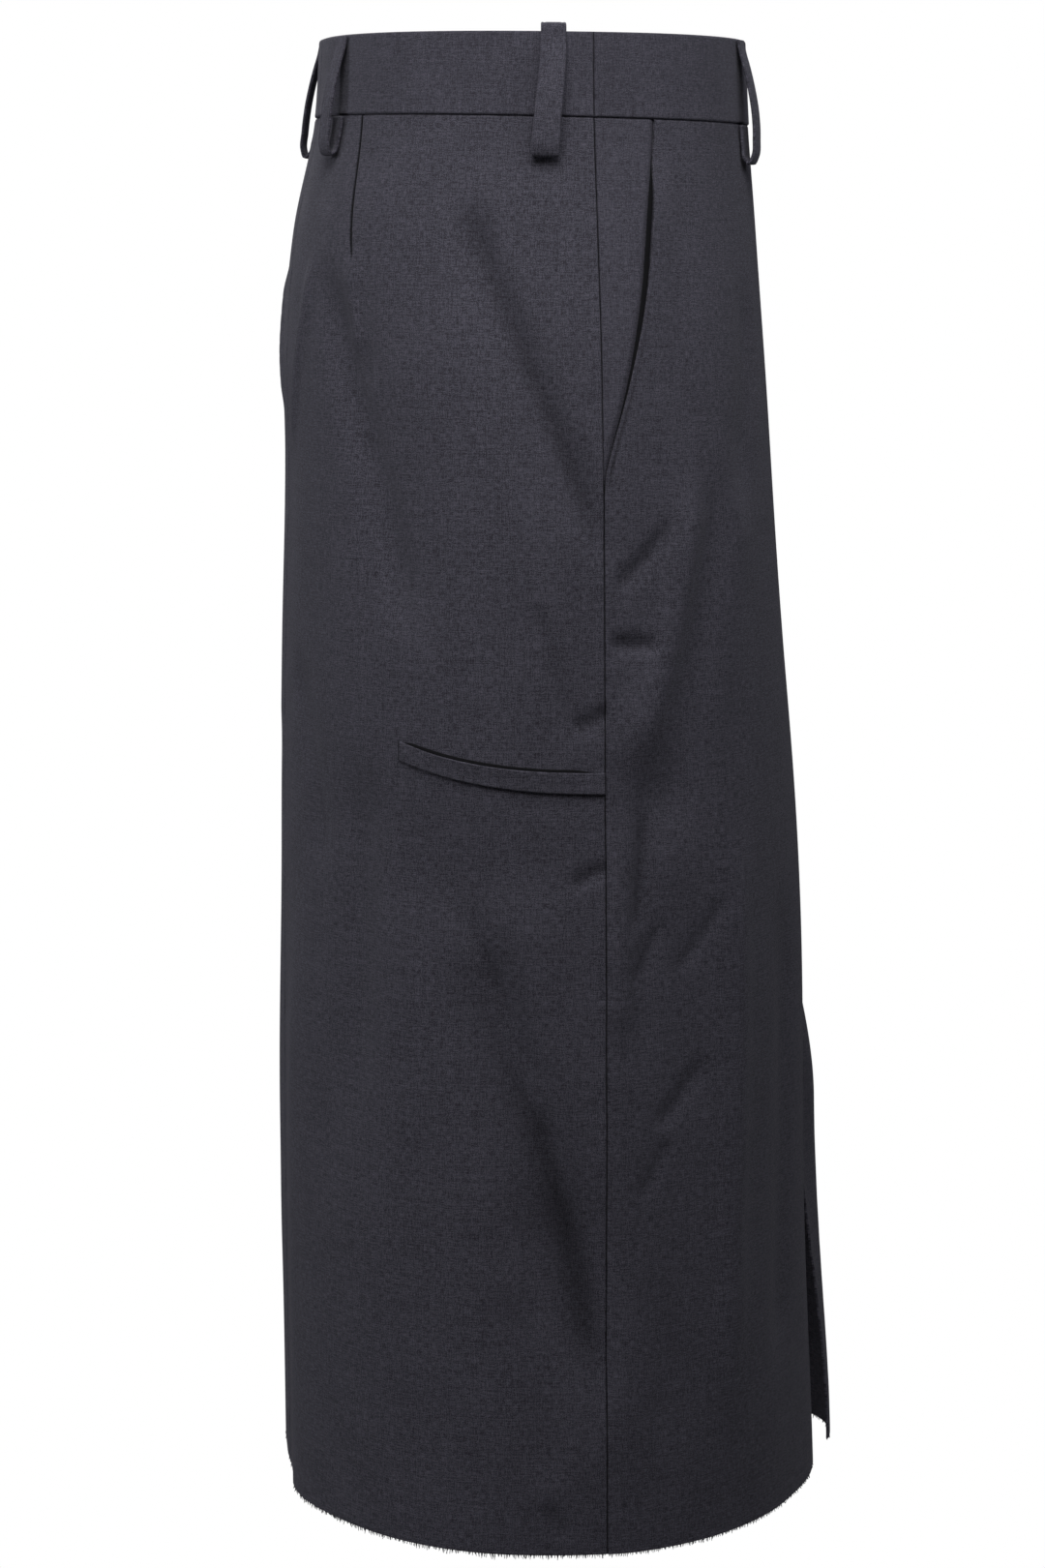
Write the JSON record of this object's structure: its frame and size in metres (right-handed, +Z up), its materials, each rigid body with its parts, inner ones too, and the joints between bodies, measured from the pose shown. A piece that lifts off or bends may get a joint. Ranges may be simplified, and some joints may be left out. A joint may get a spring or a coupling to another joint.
{
  "type": "slit midi skirt",
  "caption": "High-waisted straight midi skirt of charcoal wool with belt loops, slash pockets, low back welts, a centre-front slit and a raw hem, filled out as worn.",
  "frame": {"origin": "centre of the waistband, halfway up it, on the body's axis, where the wearer holds the skirt", "axes": "+Z up, -Y the wearer's front, -X the wearer's right side"},
  "size_m": [0.41, 0.3164, 0.7863],
  "materials": {
    "wool": "matt heathered plain weave",
    "band_wool": "matt heathered plain weave",
    "pocketing": "matt lining cotton",
    "zip_tape": "matt woven tape"
  },
  "bodies": {
    "root": {"waistband_front": "band_wool", "waistband_back_right": "band_wool", "waistband_back_left": "band_wool", "front_panel_right": "wool", "front_panel_left": "wool", "back_panel_right": "wool", "back_panel_left": "wool", "pocket_facing_right": "wool", "pocket_facing_left": "wool", "pocket_bag_right": "pocketing", "pocket_bag_left": "pocketing", "welt_right": "wool", "welt_left": "wool", "welt_bag_right": "pocketing", "welt_bag_left": "pocketing", "loop_front_right": "band_wool", "loop_front_left": "band_wool", "loop_side_right": "band_wool", "loop_side_left": "band_wool", "loop_back_right": "band_wool", "loop_back_left": "band_wool", "back_zip": "zip_tape"}
  },
  "joints": []
}
